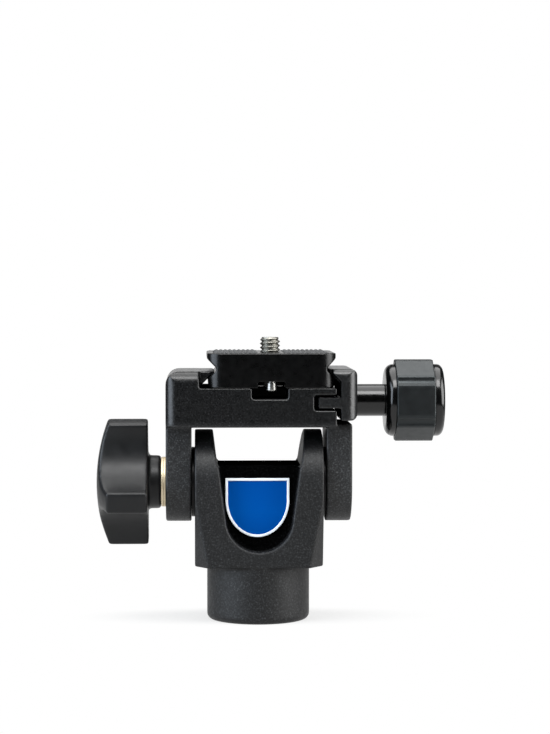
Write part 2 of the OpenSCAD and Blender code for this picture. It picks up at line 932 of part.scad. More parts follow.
// Four lobes parted by round hollows
module lobe_outline() {
    lobes = 4;
    difference() {
        circle(r = lobe_r);
        for (i = [0:lobes - 1])
            rotate(lobe_turn + (i + 0.5) * 360 / lobes)
                translate([hollow_r + hollow_curve_r, 0])
                    circle(r = hollow_curve_r);
    }
}

module tilt_knob() {
    dome_r = (lobe_r ^ 2 + dome_h ^ 2) / (2 * dome_h);
    color("#1b1c1e")
        difference() {
            union() {
                rod_x(-lobe_x - over, -hub_x - face_gap, hub_d / 2, axis_h);
                intersection() {
                    along_x(-lobe_x - lobe_t, axis_h)
                        linear_extrude(height = lobe_t)
                            lobe_outline();
                    translate([-lobe_x - lobe_t + dome_r, 0, axis_h])
                        sphere(r = dome_r);
                }
            }
            rod_x(
                -knob_insert_x - knob_insert_len - seat_gap,
                -hub_x + over,
                knob_insert_r + seat_gap,
                axis_h
            );
        }
}

module tilt_knob_insert() {
    color("#c2a05a")
        difference() {
            rod_x(-knob_insert_x - knob_insert_len, -knob_insert_x, knob_insert_r, axis_h);
            rod_x(-knob_insert_x - knob_insert_len - over, -knob_insert_x + over, axle_r + run_gap, axis_h);
        }
}

fork_base();
foot_bush();
badge();
axle_bush_left();
axle_bush_right();
friction_washer_left();
friction_washer_right();
yoke();
tilt_axle();
clamp_insert();
return_spring();
moving_jaw();
clamp_screw();
knob_core();
knob_grip();
knob_cap();
dovetail_plate();
pad_left();
pad_right();
stop_screws();
camera_screw();
bearing_washer();
brass_washer();
tilt_knob();
tilt_knob_insert();
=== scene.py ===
"""Looks of a monopod tilt head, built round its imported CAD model. Lengths are metres."""

import json
import math

import bmesh
import bpy
from mathutils import Matrix, Vector


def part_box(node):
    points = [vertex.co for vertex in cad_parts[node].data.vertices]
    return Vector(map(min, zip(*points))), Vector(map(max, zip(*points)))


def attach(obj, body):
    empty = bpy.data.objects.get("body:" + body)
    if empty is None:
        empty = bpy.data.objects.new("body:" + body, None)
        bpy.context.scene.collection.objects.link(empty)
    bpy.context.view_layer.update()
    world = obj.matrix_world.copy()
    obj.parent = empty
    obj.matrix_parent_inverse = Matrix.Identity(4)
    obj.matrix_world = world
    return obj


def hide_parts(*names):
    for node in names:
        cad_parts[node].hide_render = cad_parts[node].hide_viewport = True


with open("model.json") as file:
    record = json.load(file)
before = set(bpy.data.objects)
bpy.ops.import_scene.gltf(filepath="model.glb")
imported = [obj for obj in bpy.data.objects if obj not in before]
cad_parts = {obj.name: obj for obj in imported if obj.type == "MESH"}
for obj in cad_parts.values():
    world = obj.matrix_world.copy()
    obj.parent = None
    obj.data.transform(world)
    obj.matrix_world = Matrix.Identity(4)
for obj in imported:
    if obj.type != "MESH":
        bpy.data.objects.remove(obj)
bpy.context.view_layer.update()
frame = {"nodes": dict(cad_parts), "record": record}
scene = bpy.context.scene
MM = 0.001
TURN = 2 * math.pi
ALONG_X = (1, 0, 0)
ALONG_Z = (0, 0, 1)

# Camera: place, and how far it looks to the right and down
CAMERA_AT = Vector((-18.8, -685.9, 105.0)) * MM
CAMERA_YAW = 0.0352
CAMERA_PITCH = 0.0370
SENSOR_MM = 36
LENS_MM = 106.6


def centre(node):
    """Middle of a CAD node's box."""
    low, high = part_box(node)
    return (low + high) / 2


# Places read from the frame
TILT_Z = centre("tilt_axle").z
CLAMP_Z = centre("clamp_screw").z
PLATE_X = centre("dovetail_plate").x
PLATE_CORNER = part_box("dovetail_plate")[0]
PLATE_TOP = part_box("dovetail_plate")[1].z
JAW_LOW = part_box("moving_jaw")[0].z
YOKE_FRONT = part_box("yoke")[0].y
FORK_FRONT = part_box("fork_base")[0].y
FORK_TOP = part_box("fork_base")[1].z
badge_low, badge_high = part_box("badge")

# The fork's recesses reach beyond the badge at its sides and below it. Painted shade darkens their
# coat from behind the rounded rim at the front to its darkest a little before the floor, on which the
# badge sits.
RECESS_SIDE = 5 * MM
RECESS_BELOW = 8 * MM
RECESS_RIM = 0.5 * MM
FADE_SHORT = 1.5 * MM
RECESS_X = centre("badge").x
RECESS_HALF = badge_high.x - RECESS_X + RECESS_SIDE
RECESS_LOW = badge_low.z - RECESS_BELOW
RECESS_FRONT = -FORK_FRONT - RECESS_RIM
RECESS_FLOOR = -badge_high.y + FADE_SHORT

# The saddle between the fork's ears, above the tilt axis
SADDLE_Z = TILT_Z + 5.9 * MM


# Materials

# Most of a noise texture's values lie between these two
NOISE_LOW, NOISE_HIGH = 0.3, 0.7


class Nodes:
    """A node tree under construction."""

    def __init__(self, tree):
        self.tree = tree

    def node(self, kind, inputs=(), **settings):
        """A new node with its settings, and its inputs linked or given a value."""
        made = self.tree.nodes.new(kind)
        for key, value in settings.items():
            setattr(made, key, value)
        for key, value in dict(inputs).items():
            if isinstance(value, bpy.types.NodeSocket):
                self.tree.links.new(value, made.inputs[key])
            else:
                made.inputs[key].default_value = value
        return made

    def calc(self, operation, *values):
        """The result of an operation on numbers or sockets."""
        made = self.node("ShaderNodeMath", dict(enumerate(values)), operation=operation)
        return made.outputs["Value"]

    def remap(self, value, source, target=(0, 1), **settings):
        """A value taken from one range to another."""
        ends = zip(("From Min", "From Max", "To Min", "To Max"), (*source, *target))
        made = self.node("ShaderNodeMapRange", {"Value": value, **dict(ends)}, **settings)
        return made.outputs["Result"]

    def split(self, vector):
        """The three parts of a vector, by their letters."""
        return self.node("ShaderNodeSeparateXYZ", {"Vector": vector}).outputs


class Paint(Nodes):
    """A node material under construction: a Principled shader and object coordinates in metres."""

    def __init__(self, name, **sockets):
        self.material = bpy.data.materials.new(name)
        self.material.use_nodes = True
        super().__init__(self.material.node_tree)
        self.shader = self.tree.nodes["Principled BSDF"]
        self.coords = self.node("ShaderNodeTexCoord").outputs["Object"]
        for key, value in sockets.items():
            self.shader.inputs[key.replace("_", " ")].default_value = value

    def link(self, output, socket):
        self.tree.links.new(output, self.shader.inputs[socket])

    def noise(self, grain, detail=2.0, roughness=0.5, stretch=(1, 1, 1)):
        """Noise whose features are about grain metres across, drawn out along the given axes."""
        mapped = self.node("ShaderNodeMapping", {"Vector": self.coords, "Scale": stretch})
        inputs = {
            "Vector": mapped.outputs["Vector"],
            "Scale": 1 / grain,
            "Detail": detail,
            "Roughness": roughness,
        }
        return self.node("ShaderNodeTexNoise", inputs).outputs["Fac"]

    def ramp(self, value, stops):
        """Colours at their places along a value."""
        made = self.node("ShaderNodeValToRGB", {"Fac": value})
        points = made.color_ramp.elements
        while len(points) < len(stops):
            points.new(0.5)
        for point, (place, colour) in zip(points, stops):
            point.position = place
            point.color = (*colour, 1)
        return made.outputs["Color"]

    def spread(self, noise, middle, reach):
        """A noise spread evenly about a middle value."""
        return self.remap(noise, (NOISE_LOW, NOISE_HIGH), (middle - reach, middle + reach))

    def bump(self, height, depth, strength):
        inputs = {"Height": height, "Distance": depth, "Strength": strength}
        self.link(self.node("ShaderNodeBump", inputs).outputs["Normal"], "Normal")


def clouded(low, high):
    """Ramp stops that spread two colours over a noise."""
    return [(NOISE_LOW, low), (NOISE_HIGH, high)]


def grey(level, blue=1.08):
    """A dark neutral colour with a slight cool cast."""
    return (level, level * (1 + blue) / 2, level * blue)


# Powder coat. It turns smoother at the platform, which starts just above the fork's ears.
SPECK_GRAIN = 0.5 * MM
SPECKS = ((0.38, 0.3), (0.5, 0.7), (0.6, 1.8), (0.72, 5.0))  # share of the coat's level
COAT_GRAIN = 0.6 * MM
COAT_DEPTH = 0.05 * MM
COAT_BUMP = 0.6
FORK_ROUGHNESS, PLATFORM_ROUGHNESS = 0.5, 0.31
COAT_MOTTLE_GRAIN = 1.6 * MM
MOTTLE = 0.04
PLATFORM_LOW = FORK_TOP + 1.5 * MM
PLATFORM_BLEND = 2 * MM
RECESS_SHADE_SHARE = 0.1


def cast_paint(name, levels, shine, recess_shade=False):
    """Powder coat: dark and finely grained with paler specks, with levels for fork and platform.

    In a recess, painted shade darkens it towards the floor."""
    paint = Paint(name, Specular_IOR_Level=shine)
    place = paint.split(paint.coords)
    blend = (PLATFORM_LOW - PLATFORM_BLEND, PLATFORM_LOW + PLATFORM_BLEND)
    upper = paint.remap(place["Z"], blend)
    speck = paint.noise(SPECK_GRAIN, detail=3, roughness=0.65)
    mix = paint.node("ShaderNodeMix", data_type="RGBA")
    paint.tree.links.new(upper, mix.inputs["Factor"])
    sides = [socket for socket in mix.inputs if socket.type == "RGBA"]
    for level, side in zip(levels, sides):
        coat = paint.ramp(speck, [(at, grey(level * share)) for at, share in SPECKS])
        paint.tree.links.new(coat, side)
    colour = [socket for socket in mix.outputs if socket.type == "RGBA"][0]
    # Painted shade: the colour is scaled down from the recess rim towards its floor
    if recess_shade:
        away = paint.calc("ABSOLUTE", place["Y"])
        shade_fade = paint.remap(away, (RECESS_FRONT, RECESS_FLOOR), (1, RECESS_SHADE_SHARE))
        shaded = paint.node("ShaderNodeVectorMath", {0: colour, "Scale": shade_fade}, operation="SCALE")
        colour = shaded.outputs["Vector"]
    paint.link(colour, "Base Color")
    smoother = paint.remap(upper, (0, 1), (FORK_ROUGHNESS, PLATFORM_ROUGHNESS))
    mottle = paint.spread(paint.noise(COAT_MOTTLE_GRAIN), 0, MOTTLE)
    paint.link(paint.calc("ADD", smoother, mottle), "Roughness")
    paint.bump(paint.noise(COAT_GRAIN), COAT_DEPTH, COAT_BUMP)
    return paint.material


# Mouldings, and smooth coats like them
SKIN_GRAIN = 0.3 * MM
SKIN_DEPTH = 0.02 * MM
SKIN_BUMP = 0.35
SKIN_CLOUD = 6 * MM
SKIN_MOTTLE_GRAIN = 2.2 * MM
CLOUD_DEPTH = 0.15


def plastic(name, level, roughness, grain=SKIN_GRAIN, shine=0.5, tint=(1, 1, 1)):
    """Moulded plastic or rubber: even, with a fine skin texture and faint clouding."""
    paint = Paint(name, Specular_IOR_Level=shine, Specular_Tint=(*tint, 1))
    ends = [grey(level * share) for share in (1 - CLOUD_DEPTH, 1 + CLOUD_DEPTH)]
    paint.link(paint.ramp(paint.noise(SKIN_CLOUD, detail=4), clouded(*ends)), "Base Color")
    mottle = paint.noise(SKIN_MOTTLE_GRAIN, detail=3)
    paint.link(paint.spread(mottle, roughness, MOTTLE), "Roughness")
    paint.bump(paint.noise(grain), SKIN_DEPTH, SKIN_BUMP)
    return paint.material


# Machined metal
TOOL_LINE = 12 * MM
TOOL_FINENESS = 400
TOOL_DEPTH = 0.01 * MM
TOOL_BUMP = 0.15
TOOL_MOTTLE = 0.05
METAL_CLOUD = 4 * MM


def turned(name, stops, roughness, metallic, along):
    """Machined metal: fine tool lines round the axis, and a clouded tint."""
    paint = Paint(name, Metallic=metallic)
    fine = [TOOL_FINENESS if axis == along else 1 for axis in "XYZ"]
    lines = paint.noise(TOOL_LINE, detail=3, stretch=fine)
    paint.link(paint.ramp(paint.noise(METAL_CLOUD, detail=3), stops), "Base Color")
    paint.link(paint.spread(lines, roughness, TOOL_MOTTLE), "Roughness")
    paint.bump(lines, TOOL_DEPTH, TOOL_BUMP)
    return paint.material


# Badge enamel, from its lower end to its upper one
ENAMEL_STOPS = [
    (0.0, (0.0005, 0.046, 0.225)),
    (0.5, (0.0005, 0.058, 0.268)),
    (1.0, (0.0005, 0.048, 0.235)),
]
ENAMEL_GRAIN = 0.5 * MM
ENAMEL_MOTTLE = 0.16


def enamel(name):
    """Blue badge enamel, deeper towards its ends, with a faint printed mottle."""
    paint = Paint(name, Roughness=0.5, Specular_IOR_Level=0.0)
    height = paint.remap(paint.split(paint.coords)["Z"], (badge_low.z, badge_high.z))
    mottle = paint.calc("MULTIPLY", paint.noise(ENAMEL_GRAIN, detail=3), ENAMEL_MOTTLE)
    paint.link(paint.ramp(paint.calc("ADD", height, mottle), ENAMEL_STOPS), "Base Color")
    return paint.material


STEEL_STOPS = clouded((0.3, 0.295, 0.28), (0.42, 0.415, 0.395))
DULL_STOPS = clouded((0.17, 0.165, 0.145), (0.26, 0.255, 0.23))
BRASS_STOPS = clouded((0.72, 0.6, 0.4), (0.86, 0.75, 0.55))
RUBBER_TINT = (0.87, 0.97, 1)
FINE_GRAIN = 0.2 * MM
GLOSS_GRAIN = 1.5 * MM
LOOKS = {
    "cast_black": cast_paint("cast_black", (0.0068, 0.003), 0.27),
    "anodised_black": plastic("anodised_black", 0.0005, 0.3, FINE_GRAIN, 0.28),
    "gloss_black": plastic("gloss_black", 0.0015, 0.18, GLOSS_GRAIN, 0.45),
    "black_plastic": plastic("black_plastic", 0.005, 0.4, shine=0.27),
    "rubber": plastic("rubber", 0.003, 0.4, shine=0.42, tint=RUBBER_TINT),
    "pad_rubber": plastic("pad_rubber", 0.02, 0.6),
    "steel": turned("steel", STEEL_STOPS, 0.34, 1.0, "Z"),
    "brass": turned("brass", BRASS_STOPS, 0.5, 0.8, "X"),
    "badge_blue": enamel("badge_blue"),
}
DULL_STEEL = turned("steel_dull", DULL_STOPS, 0.38, 1.0, "Z")
BORDER = plastic("badge_border", 0.7, 0.4, shine=0.1)
# Painted shade: a darker, barely reflecting coat for the flange's side towards the jaw, which shades
# it
FLANGE_SHADE_COAT = plastic("gloss_black_flange_painted_shade", 0.001, 0.16, GLOSS_GRAIN, 0.07)
# Painted shade: a coat darkened towards the recess floor and without reflection, for the shade in the
# fork's recesses and on its saddle under the platform
RECESS_SHADE_COAT = cast_paint("cast_black_recess_painted_shade", (0.013, 0.003), 0.0, recess_shade=True)
# Painted shade: a darker coat without reflection for the gaps where yoke, moving jaw and plate face
# each other
INNER_SHADE_COAT = cast_paint("cast_black_inner_painted_shade", (0.003, 0.003), 0.0)
YOKE_COAT = cast_paint("cast_black_yoke", (0.0125, 0.004), 0.36)
JAW_COAT = cast_paint("cast_black_jaw", (0.006, 0.006), 0.5)


# Geometry
SHARP = math.radians(40)
FLAT = math.radians(1)
ON_AXIS = 1e-7


def add(name, mesh, body, slot, *nodes):
    """Link a finished mesh as a piece that rides a body, and hide the CAD nodes it stands for."""
    piece = bpy.data.objects.new(name, mesh)
    scene.collection.objects.link(piece)
    mesh.materials.clear()
    mesh.materials.append(LOOKS[slot])
    mesh.shade_smooth()
    mesh.set_sharp_from_angle(angle=SHARP)
    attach(piece, body)
    if nodes:
        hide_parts(*nodes)
    return piece


def repaint(piece, material):
    """Give a piece a finish of its own."""
    piece.data.materials.clear()
    piece.data.materials.append(material)


def repaint_faces(piece, material, chosen):
    """Give a second finish to the faces whose centre and normal are chosen."""
    mesh = piece.data
    mesh.materials.append(material)
    for face in mesh.polygons:
        if chosen(face.center, face.normal):
            face.material_index = len(mesh.materials) - 1


def applied(piece):
    """The piece's mesh with its modifiers worked in."""
    graph = bpy.context.evaluated_depsgraph_get()
    mesh = bpy.data.meshes.new_from_object(piece.evaluated_get(graph))
    bpy.data.objects.remove(piece)
    return mesh


def softened(node, voxel, smoothing, keep):
    """Mesh of a CAD node with its edges rounded and its corners filled, as a casting has them.

    Faces are thinned to the share given by keep, or, with keep at 0, where they lie in one plane."""
    piece = bpy.data.objects.new("soft_" + node, frame["nodes"][node].data.copy())
    scene.collection.objects.link(piece)
    remesh = piece.modifiers.new("even", "REMESH")
    remesh.mode = "VOXEL"
    remesh.voxel_size = voxel
    remesh.adaptivity = 0
    smooth = piece.modifiers.new("round", "SMOOTH")
    smooth.factor = 0.5
    smooth.iterations = smoothing
    thin = piece.modifiers.new("thin", "DECIMATE")
    if keep:
        thin.ratio = keep
    else:
        thin.decimate_type = "DISSOLVE"
        thin.angle_limit = FLAT
    return applied(piece)


def cast_piece(node, body, slot, voxel=0.3 * MM, smoothing=10, keep=0.3):
    """A CAD node's softened copy, with normals that keep its flats flat."""
    piece = add("looks_" + node, softened(node, voxel, smoothing, keep), body, slot, node)
    even = piece.modifiers.new("even_flats", "WEIGHTED_NORMAL")
    even.keep_sharp = True
    return piece


def cut(mesh, tool):
    """A mesh less another."""
    piece, cutter = (bpy.data.objects.new("cut_" + m.name, m) for m in (mesh, tool))
    for made in (piece, cutter):
        scene.collection.objects.link(made)
    less = piece.modifiers.new("less", "BOOLEAN")
    less.operation = "DIFFERENCE"
    less.object = cutter
    whole = applied(piece)
    bpy.data.objects.remove(cutter)
    return whole


def finished(name, made):
    """A bmesh turned into a mesh."""
    mesh = bpy.data.meshes.new(name)
    made.to_mesh(mesh)
    made.free()
    return mesh


def facing_out(made):
    """A closed bmesh with its faces turned outwards."""
    bmesh.ops.recalc_face_normals(made, faces=made.faces)
    return made


def joined(name, *meshes):
    """Several meshes as one."""
    made = bmesh.new()
    for mesh in meshes:
        made.from_mesh(mesh)
    return finished(name, made)


def placed(mesh, origin, axis):
    """The mesh, made along +Z, moved to the origin given and turned to the axis given."""
    turn = Vector(ALONG_Z).rotation_difference(Vector(axis)).to_matrix().to_4x4()
    mesh.transform(Matrix.Translation(origin) @ turn)
    return mesh


def block(name, low, high):
    """A box from its lowest to its highest corner."""
    made = bmesh.new()
    bmesh.ops.create_cube(made, size=1)
    for vert in made.verts:
        vert.co = Vector(end if c > 0 else start for c, start, end in zip(vert.co, low, high))
    return finished(name, made)


def rounded(points, steps=5):
    """A profile with each corner (r, h, radius) turned into an arc of that radius."""
    line = []
    for i, (r, h, radius) in enumerate(points):
        here = Vector((r, h))
        if radius == 0 or i in (0, len(points) - 1):
            line.append(here)
            continue
        back = (Vector(points[i - 1][:2]) - here).normalized()
        on = (Vector(points[i + 1][:2]) - here).normalized()
        half = back.angle(on) / 2
        start = here + back * (radius / math.tan(half))
        end = here + on * (radius / math.tan(half))
        middle = here + (back + on).normalized() * (radius / math.sin(half))
        for k in range(steps + 1):
            spoke = start.lerp(end, k / steps) - middle
            line.append(middle + spoke.normalized() * radius)
    return line


def circle(made, radius, h, around):
    """A ring of new vertices at a height, with a radius that may change with the turn."""
    turns = [k / around for k in range(around)]
    radii = [radius(t) if callable(radius) else radius for t in turns]
    return [
        made.verts.new((r * math.cos(TURN * t), r * math.sin(TURN * t), h))
        for r, t in zip(radii, turns)
    ]


def bridge(made, loops):
    """Faces between neighbouring loops of as many vertices."""
    for low, high in zip(loops, loops[1:]):
        for k in range(len(low)):
            n = (k + 1) % len(low)
            made.faces.new([low[k], low[n], high[n], high[k]])


def lathe(name, profile, origin, axis, around=96):
    """A closed solid of revolution from a profile of (r, h) that ends on the axis or closes."""
    made = bmesh.new()
    rings = []
    for r, h in profile:
        if r < ON_AXIS:
            rings.append([made.verts.new((0, 0, h))])
        else:
            rings.append(circle(made, r, h, around))
    pairs = list(zip(rings, rings[1:]))
    if len(rings[0]) > 1:
        pairs.append((rings[-1], rings[0]))
    for low, high in pairs:
        for k in range(around):
            n = (k + 1) % around
            corners = [low[k % len(low)], low[n % len(low)], high[n % len(high)], high[k % len(high)]]
            made.faces.new(list(dict.fromkeys(corners)))
    return placed(finished(name, facing_out(made)), origin, axis)


def wave(phase):
    """A thread's rounded V, from 0 at the root to 1 at the crest."""
    return 0.5 - 0.5 * math.cos(TURN * phase)


def thread_rows(r_root, r_crest, pitch, length, lead, rows=14):
    """Heights and radii along a thread, with its depth run out over the lead at its far end."""
    count = max(2, int(rows * length / pitch))
    for i in range(count + 1):
        h = length * i / count
        depth = (r_crest - r_root) * min(1, (length - h) / lead)
        yield h, (lambda turn, h=h, depth=depth: r_root + depth * wave(h / pitch - turn))


def threaded_rod(name, r_root, r_crest, pitch, length, lead, origin, axis, around=64):
    """A rod with a raised helical thread and a flat tip."""
    made = bmesh.new()
    rows = thread_rows(r_root, r_crest, pitch, length, lead)
    rings = [circle(made, radius, h, around) for h, radius in rows]
    bridge(made, rings)
    made.faces.new(rings[0][::-1])
    made.faces.new(rings[-1])
    return placed(finished(name, made), origin, axis)


def threaded_bush(name, r_out, r_root, r_crest, pitch, length, lead, edge, around=72):
    """A bush with an eased rim and a helical thread in its bore, standing on the origin."""
    made = bmesh.new()
    outside = [(r_root, 0, 0), (r_out, 0, edge), (r_out, length, edge), (r_root, length, 0)]
    rings = [circle(made, r, h, around) for r, h in rounded(outside)]
    rows = list(thread_rows(r_root, r_crest, pitch, length, lead))
    rings += [circle(made, radius, length - h, around) for h, radius in rows[1:-1]]
    bridge(made, rings + rings[:1])
    return finished(name, facing_out(made))


# Least part of a face's normal along an axis for the face to count as turned that way
FACING = 0.5
EAR_FACING = 0.7

# Fork, with painted shade in its recesses and on its saddle under the platform: the shade turns round
# the saddle's edge and stays off the ears' inner sides
SADDLE_EDGE = 1 * MM
EAR_FOOT = 0.5 * MM


def in_recess(at, normal):
    """Whether a face of the fork lies in a recess or on the saddle."""
    behind_skin = math.hypot(at.y, max(0, at.z - TILT_Z)) < RECESS_FRONT
    in_width = abs(at.x - RECESS_X) < RECESS_HALF
    in_height = RECESS_LOW < at.z < SADDLE_Z + SADDLE_EDGE
    on_ear = abs(normal.x) > EAR_FACING and at.z > SADDLE_Z - EAR_FOOT
    return behind_skin and in_width and in_height and not on_ear


fork = cast_piece("fork_base", "base", "cast_black", voxel=0.32 * MM)
repaint_faces(fork, RECESS_SHADE_COAT, in_recess)

# Yoke and moving jaw, with painted shade (a darker coat without reflection) where they face each
# other. The yoke has painted shade too on a strip of the clamp floor beside the fixed jaw, behind the
# floor's front edge.
STRIP_REACH = 2 * MM
STRIP_RIM = 0.8 * MM
FLOOR_REACH = 0.6 * MM


def in_clamp(at, normal):
    """Whether a face of the yoke is the ledge under the moving jaw or the strip of clamp floor."""
    on_ledge = TILT_Z < at.z < JAW_LOW
    in_strip = at.x < PLATE_CORNER.x + STRIP_REACH and at.y > YOKE_FRONT + STRIP_RIM
    on_floor = in_strip and abs(at.z - PLATE_CORNER.z) < FLOOR_REACH
    return normal.z > FACING and (on_ledge or on_floor)


yoke = cast_piece("yoke", "yoke", "cast_black", voxel=0.32 * MM)
repaint(yoke, YOKE_COAT)
repaint_faces(yoke, INNER_SHADE_COAT, in_clamp)
jaw = cast_piece("moving_jaw", "moving_jaw", "cast_black", voxel=0.25 * MM)
repaint(jaw, JAW_COAT)
repaint_faces(jaw, INNER_SHADE_COAT, lambda at, normal: normal.x < -FACING)

# Plate, tilt knob, axle and pads
cast_piece("dovetail_plate", "plate", "anodised_black", voxel=0.25 * MM, smoothing=6, keep=0)
cast_piece("tilt_knob", "tilt_knob", "black_plastic", voxel=0.35 * MM, smoothing=30)
cast_piece("tilt_axle", "yoke", "steel", voxel=0.22 * MM, smoothing=5)
for side in ("pad_left", "pad_right"):
    cast_piece(side, "plate", "pad_rubber", voxel=0.13 * MM, smoothing=3, keep=0.5)

# Bush in the foot: 3/8 inch thread, sixteen turns to the inch
BUSH_THREAD_R = 9.525 / 2 * MM
BUSH_PITCH = 25.4 / 16 * MM
BUSH_THREAD_DEPTH = 0.6 * BUSH_PITCH
BUSH_EDGE = 0.3 * MM
bush_low, bush_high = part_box("foot_bush")
bush = threaded_bush(
    "foot_bush",
    bush_high.x,
    BUSH_THREAD_R,
    BUSH_THREAD_R - BUSH_THREAD_DEPTH,
    BUSH_PITCH,
    bush_high.z - bush_low.z,
    BUSH_PITCH,
    BUSH_EDGE,
)
add("looks_foot_bush", bush, "base", "brass", "foot_bush")

# Camera screw: head with a coin slot, plain neck, and a 1/4 inch thread that starts just above the
# plate, where the neck ends inside it
SCREW_R = 6.35 / 2 * MM
SCREW_PITCH = 1.27 * MM
THREAD_DEPTH = 0.6 * MM
THREAD_LEAD = 0.9 * MM
THREAD_CLEAR = 0.05 * MM
SCREW_NECK_R = 2.55 * MM
NECK_LAP = 0.2 * MM
SCREW_HEAD_T = 4.2 * MM
HEAD_LOW_ROUND = 0.3 * MM
HEAD_TOP_ROUND = 0.2 * MM
COIN_SLOT_W = 1.6 * MM
COIN_SLOT_DEPTH = 1.2 * MM
screw_low, screw_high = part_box("camera_screw")
head_r = (screw_high.x - screw_low.x) / 2
neck_end = PLATE_TOP - screw_low.z + NECK_LAP
screw_foot = Vector((PLATE_X, 0, screw_low.z))
screw_head = lathe(
    "camera_screw_head",
    rounded(
        [
            (0, 0, 0),
            (head_r, 0, HEAD_LOW_ROUND),
            (head_r, SCREW_HEAD_T, HEAD_TOP_ROUND),
            (SCREW_NECK_R, SCREW_HEAD_T, 0),
            (SCREW_NECK_R, neck_end, 0),
            (0, neck_end, 0),
        ]
    ),
    screw_foot,
    ALONG_Z,
)
slot_reach = Vector((2 * head_r, COIN_SLOT_W / 2, COIN_SLOT_DEPTH))
coin_slot = block("coin_slot", screw_foot - slot_reach, screw_foot + slot_reach)
screw_thread = threaded_rod(
    "camera_screw_thread",
    SCREW_R - THREAD_DEPTH,
    SCREW_R,
    SCREW_PITCH,
    screw_high.z - PLATE_TOP - THREAD_CLEAR,
    THREAD_LEAD,
    Vector((PLATE_X, 0, PLATE_TOP + THREAD_CLEAR)),
    ALONG_Z,
)
screw_mesh = joined("camera_screw", cut(screw_head, coin_slot), screw_thread)
camera_screw = add("looks_camera_screw", screw_mesh, "camera_screw", "steel", "camera_screw")
repaint(camera_screw, DULL_STEEL)

# Clamp knob: turned core with a neck and flange, and an end cap
core_low, core_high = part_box("knob_core")
grip_low, grip_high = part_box("knob_grip")
cap_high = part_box("knob_cap")[1]
KNOB_AT = Vector((0, 0, CLAMP_Z))
NECK_R = 5.05 * MM
NECK_ROUND = 0.3 * MM
NECK_FILLET = 0.4 * MM
BARREL_R = 9.5 * MM
FLANGE_ROUND = 2.6 * MM
FLANGE_EDGE = 0.15 * MM
FLANGE_W = 3.1 * MM
FLANGE_FROM = 1.1 * NECK_R
CAP_ROUND = 1.9 * MM
CAP_EDGE = 0.1 * MM
CAP_STEP = 0.25 * MM
ARC_STEPS = 10
flange_r = core_high.y
flange_x = grip_low.x - FLANGE_W
core_profile = [
    (0, core_low.x, 0),
    (NECK_R, core_low.x, NECK_ROUND),
    (NECK_R, flange_x, NECK_FILLET),
    (flange_r, flange_x, FLANGE_ROUND),
    (flange_r, grip_low.x, FLANGE_EDGE),
    (BARREL_R, grip_low.x, 0),
    (BARREL_R, core_high.x, 0),
    (0, core_high.x, 0),
]
core_mesh = lathe("knob_core", rounded(core_profile, ARC_STEPS), KNOB_AT, ALONG_X)
core = add("looks_knob_core", core_mesh, "clamp_knob", "gloss_black", "knob_core")


def on_flange(at, normal):
    """Whether a face of the core is on the flange's side towards the jaw."""
    return normal.x < -FACING and (at - KNOB_AT).yz.length > FLANGE_FROM


# The flange's side towards the jaw gets painted shade
repaint_faces(core, FLANGE_SHADE_COAT, on_flange)
cap_profile = [
    (0, grip_high.x, 0),
    (flange_r - CAP_STEP, grip_high.x, 0),
    (flange_r - CAP_STEP, grip_high.x + CAP_STEP, 0),
    (flange_r, grip_high.x + CAP_STEP, CAP_EDGE),
    (flange_r, cap_high.x, CAP_ROUND),
    (0, cap_high.x, 0),
]
cap_mesh = lathe("knob_cap", rounded(cap_profile, ARC_STEPS), KNOB_AT, ALONG_X)
add("looks_knob_cap", cap_mesh, "clamp_knob", "gloss_black", "knob_cap")

# Grip of the clamp knob: six flats parted by round flutes. Flats and flutes stop a little short of
# where they would meet, which eases the edge between them.
GRIP_SIDES = 6
FLUTE_R = 2 * MM
FLUTE_DEPTH = 0.67 * MM
FLAT_SHARE = 0.94
FLUTE_SHARE = 0.86
GRIP_ROUND = 0.45 * MM
GRIP_STEPS = 5
SWEEP = [k / 4 - 1 for k in range(9)]
# Turns a mesh made along Z to lie along X, with its X to Y
Z_TO_X = Matrix(((0, 0, 1, 0), (1, 0, 0, 0), (0, 1, 0, 0), (0, 0, 0, 1)))


def grip_outline():
    """Points round the grip."""
    flat_r = grip_high.y
    step = TURN / GRIP_SIDES
    half_chord = math.sqrt(FLUTE_R**2 - (FLUTE_R - FLUTE_DEPTH) ** 2)
    flat_half = flat_r * math.tan(step / 2) - half_chord
    edge_angle = math.atan2(flat_half, flat_r)
    edge_r = math.hypot(flat_r, flat_half)
    flute_at = edge_r * math.cos(step / 2 - edge_angle) + FLUTE_R - FLUTE_DEPTH
    reach = math.asin(half_chord / FLUTE_R)
    points = []
    for side in range(GRIP_SIDES):
        turn = side * step
        corner = turn + step / 2
        middle = Vector((math.cos(corner), math.sin(corner))) * flute_at
        for share in SWEEP:
            flat = Vector((flat_r, flat_half * share * FLAT_SHARE))
            points.append(Matrix.Rotation(turn, 2) @ flat)
        for share in SWEEP:
            lean = corner - reach * share * FLUTE_SHARE
            points.append(middle - Vector((math.cos(lean), math.sin(lean))) * FLUTE_R)
    return points


def grip_mesh():
    """The grip as a sleeve with rounded ends."""
    outline = grip_outline()
    length = grip_high.x - grip_low.x
    leans = [math.pi / 2 * k / GRIP_STEPS for k in range(GRIP_STEPS + 1)]
    end = [(GRIP_ROUND * (1 - math.cos(a)), GRIP_ROUND * (1 - math.sin(a))) for a in leans]
    rows = end + [(length - h, inset) for h, inset in reversed(end)]
    made = bmesh.new()
    loops = [
        [made.verts.new((*(p * (1 - inset / p.length)), h)) for p in outline] for h, inset in rows
    ]
    for h in (length, 0.0):
        loops.append([made.verts.new((*(p.normalized() * BARREL_R), h)) for p in outline])
    bridge(made, loops + loops[:1])
    mesh = finished("knob_grip", facing_out(made))
    mesh.transform(Matrix.Translation((grip_low.x, 0, CLAMP_Z)) @ Z_TO_X)
    return mesh


add("looks_knob_grip", grip_mesh(), "clamp_knob", "rubber", "knob_grip")

